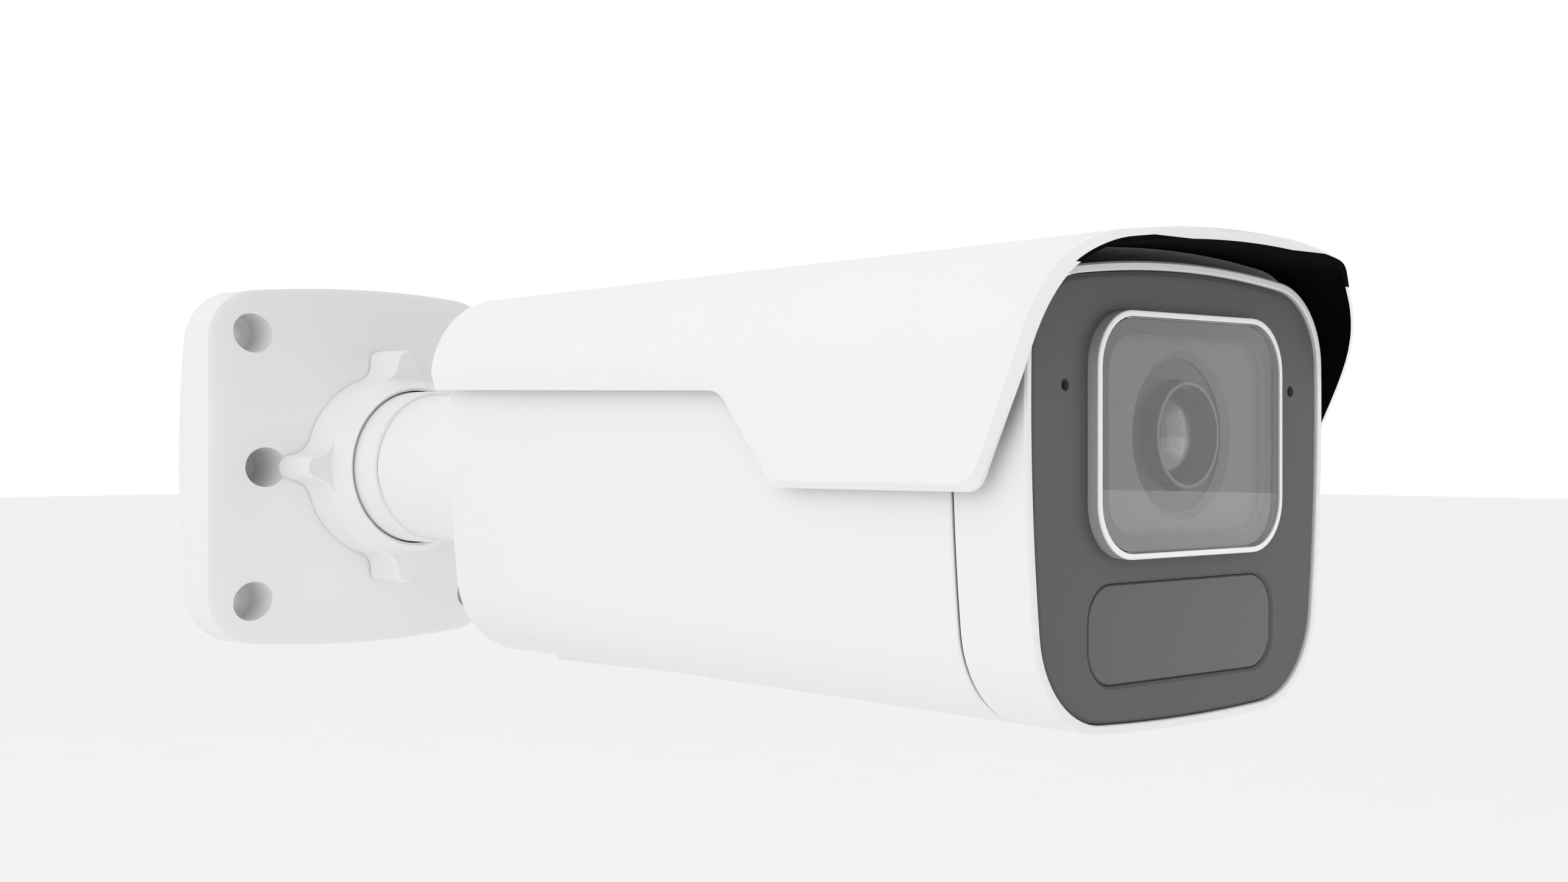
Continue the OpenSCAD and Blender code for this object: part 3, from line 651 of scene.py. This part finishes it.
def height_on(path, out):
    for a, b in zip(path, path[1:]):
        if a.x <= out <= b.x:
            return a.y + (b.y - a.y) * (out - a.x) / max(b.x - a.x, 1e-9)
    return path[-1].y


def arc_lengths(grow):
    return [radius * math.radians(abs(end - start)) for _, radius, start, end in half_section(grow)]


def at_length(grow, length):
    """Point of the half section at a distance along it from its top."""
    for (centre, radius, start, end), whole in zip(half_section(grow), arc_lengths(grow)):
        if length <= whole:
            a = math.radians(start + (end - start) * length / whole)
            return centre[0] + radius * math.cos(a), centre[1] + radius * math.sin(a)
        length -= whole
    return 0.0, LOW_Z - grow


def length_at(grow, height):
    """Distance along the half section from its top to a height."""
    low, high = 0.0, sum(arc_lengths(grow))
    for _ in range(40):
        middle = (low + high) / 2
        if at_length(grow, middle)[1] > height:
            low = middle
        else:
            high = middle
    return low


def hood_rows(out_path, in_path, out, out_outer, rows):
    """One cross section of the hood, edge to edge over its top, outside then inside."""
    k, k_outer = scale_at(out), scale_at(out_outer)
    strip = HOOD_IN + HOOD_STRIP
    outer_end = length_at(HOOD_OUT, height_on(out_path, out_outer) / k_outer)
    inner_end = length_at(HOOD_IN, height_on(in_path, out) / k)
    strip_point = at_length(strip, length_at(strip, height_on(in_path, out) / k))
    outer, inner = [], []
    for i in range(-rows, rows + 1):
        side = -1 if i < 0 else 1
        x, z = at_length(HOOD_OUT, outer_end * abs(i) / rows)
        outer.append((side * x * k_outer, -out_outer, z * k_outer))
        x, z = at_length(HOOD_IN, inner_end * abs(i) / rows)
        inner.append((side * x * k, -out, z * k))
    x, z = strip_point[0] * k, strip_point[1] * k
    return [(-x, -out, z)] + outer + [(x, -out, z)] + list(reversed(inner))


def hood_stations():
    """Distances from the wall of the hood's cross sections, closer together at the edge's bends."""
    stretches = [(REAR, 203, 14), (203, 216, 14), (216, 222, 5), (222, 230, 12), (230, 272, 8),
                 (272, 282, 14), (282, 291, 12), (291, VISOR, 20)]
    places = [a + (b - a) * i / n for a, b, n in stretches for i in range(n)]
    return places + [VISOR]


def slot_prism(place, radius, floor):
    """A slot along the body for a hood screw, open upwards from a height."""
    front, back = -(place + SLOT_SLACK), -(place - HOOD_TRAVEL - SLOT_SLACK)
    outline = arc((0, back), radius, 0, 180, 12) + [(-radius, back)]
    outline += arc((0, front), radius, 180, 360, 12) + [(radius, front)]
    return [[(x, y, z) for x, y in outline] for z in (floor, 60)]


def make_hood():
    in_path, out_path = rounded_path(EDGE_IN), rounded_path(EDGE_OUT)
    rings = []
    for out in hood_stations():
        pull = LIP_PULL * max(0.0, min(1.0, (out - LIP_START) / (VISOR - LIP_START)))
        rings.append(hood_rows(out_path, in_path, out, out - pull, 44))
    points, faces = skin(rings, False)
    piece = finish_mesh("hood_shell", points, faces, [plastic, visor_black], "hood_body",
                        ["hood"])
    for place in HOOD_SCREWS:
        head = (TOP_Z + HOOD_OUT) * scale_at(place - HOOD_TRAVEL / 2) - HEAD_DEPTH
        cut(piece, slot_prism(place, SLOT_R, 30), slot_prism(place, HEAD_R, head))
    for face in piece.data.polygons:
        out = -face.center.y / MM
        towards = Vector((face.center.x / MM, face.center.z / MM - 2)).normalized()
        if out > FRONT - 5 and face.normal.x * towards.x + face.normal.z * towards.y < -0.3:
            face.material_index = 1


def make_stage():
    level, reach = cad_box[0].z - 0.12, 6.0
    corners = [(x * reach, y * reach, level) for x, y in ((-1, -1), (1, -1), (1, 1), (-1, 1))]
    sheet = bpy.data.meshes.new("floor")
    sheet.from_pydata(corners, [], [(0, 1, 2, 3)])
    floor = bpy.data.objects.new("floor", sheet)
    bpy.context.scene.collection.objects.link(floor)
    pale = material("pale floor", (0.97, 0.97, 0.97), 0.8, grain=0.1, grain_size=2, vary=0.01)
    sheet.materials.append(pale)


def area_light(name, place, target, size, power):
    lamp = bpy.data.lights.new(name, "AREA")
    lamp.shape = "RECTANGLE"
    lamp.size, lamp.size_y = size
    lamp.energy = power
    holder = bpy.data.objects.new(name, lamp)
    holder.location = place
    holder.rotation_euler = (Vector(target) - Vector(place)).to_track_quat("-Z", "Y").to_euler()
    bpy.context.scene.collection.objects.link(holder)


def make_world():
    """A white studio that is darker on the side that the front faces look at."""
    world = bpy.data.worlds.new("studio")
    world.use_nodes = True
    nodes, links = world.node_tree.nodes, world.node_tree.links
    where = nodes.new("ShaderNodeTexCoord")
    turn = nodes.new("ShaderNodeVectorRotate")
    turn.rotation_type = "Z_AXIS"
    turn.inputs["Angle"].default_value = math.radians(68)
    axes = nodes.new("ShaderNodeSeparateXYZ")
    shade = nodes.new("ShaderNodeValToRGB")
    shade.color_ramp.elements[0].position = 0.15
    shade.color_ramp.elements[0].color = (1.0, 1.0, 1.0, 1)
    shade.color_ramp.elements[1].position = 0.85
    shade.color_ramp.elements[1].color = (0.3, 0.3, 0.3, 1)
    links.new(where.outputs["Generated"], turn.inputs["Vector"])
    links.new(turn.outputs["Vector"], axes.inputs["Vector"])
    links.new(axes.outputs["X"], shade.inputs["Fac"])
    links.new(shade.outputs["Color"], nodes["Background"].inputs["Color"])
    nodes["Background"].inputs["Strength"].default_value = 1.04
    bpy.context.scene.world = world
    bpy.context.scene.view_settings.view_transform = "Standard"


def make_light():
    middle, window_middle = (0, -0.15, 0), (0, -0.288, 0.008)
    area_light("side softbox", (-0.9, -0.45, 0.35), middle, (0.7, 0.7), 0.8)
    area_light("front softbox", (0.30, -0.59, 0.02), window_middle, (0.32, 0.3), 0.26)
    area_light("lens highlight", (0.10, -0.75, 0.28), window_middle, (0.07, 0.07), 0.25)


def make_camera():
    lens = bpy.data.cameras.new("camera")
    lens.lens, lens.sensor_width = 50, 36
    lens.clip_start, lens.clip_end = 0.01, 50
    eye = bpy.data.objects.new("camera", lens)
    eye.location = (-0.3436, -0.5223, 0.0069)
    eye.rotation_euler = (math.radians(90), 0, math.radians(-45))
    bpy.context.scene.collection.objects.link(eye)
    bpy.context.scene.camera = eye


SLOT_LOOKS = {"white_paint": paint, "white_plastic": plastic, "black_rubber": rubber, "steel": steel,
              "panel_grey": panel_grey, "bezel_silver": bezel_silver, "mask_grey": mask_grey,
              "window_glass": window, "lens_grey": plate_grey, "lens_black": lens_black,
              "coated_glass": lens_glass, "acetal": acetal, "filter_frame": filter_red,
              "board_parts": parts, "circuit_board": board, "smoked_glass": smoked, "led": led_yellow,
              "led_optic": optic, "aluminium": aluminium}


def dress_nodes():
    """Gives each CAD node the material of its slot."""
    for row in frame["record"]["subparts"]:
        node = frame["nodes"][row["node"]]
        node.data.materials.clear()
        node.data.materials.append(SLOT_LOOKS[row["material_slot"]])
        if row["node"] == "image_sensor":
            node.data.materials[0] = material("image sensor", (0.05, 0.09, 0.14), 0.15, metallic=0.6)


dress_nodes()
make_base()
make_ring()
make_arm()
make_housing()
make_hatch()
make_front()
make_window()
make_lens()
make_hood()
make_stage()
make_world()
make_light()
make_camera()
